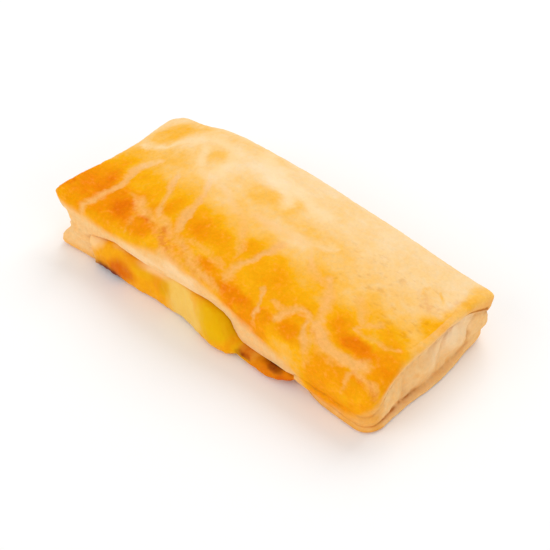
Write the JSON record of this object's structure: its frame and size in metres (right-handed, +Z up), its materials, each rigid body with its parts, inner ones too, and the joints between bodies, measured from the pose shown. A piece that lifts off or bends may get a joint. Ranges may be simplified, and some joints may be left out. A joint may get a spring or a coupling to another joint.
{
  "type": "meat pie",
  "caption": "Rectangular puff pastry meat pie with a domed glazed top, pinched layered edges and melted filling leaking out along a long side.",
  "frame": {"origin": "centre of the bounding box in plan, on the flat underside", "axes": "+X along the length, +Y across the width away from the side where the filling leaks, +Z up"},
  "size_m": [0.1434, 0.0686, 0.0319],
  "materials": {
    "golden_crust": "baked puff pastry, egg-glazed golden on top and pale and flaky at the sides",
    "melted_filling": "melted yellow filling, soft and slightly glossy, browned where it ran out"
  },
  "bodies": {
    "root": {"pastry": "golden_crust", "filling": "melted_filling"}
  },
  "joints": []
}
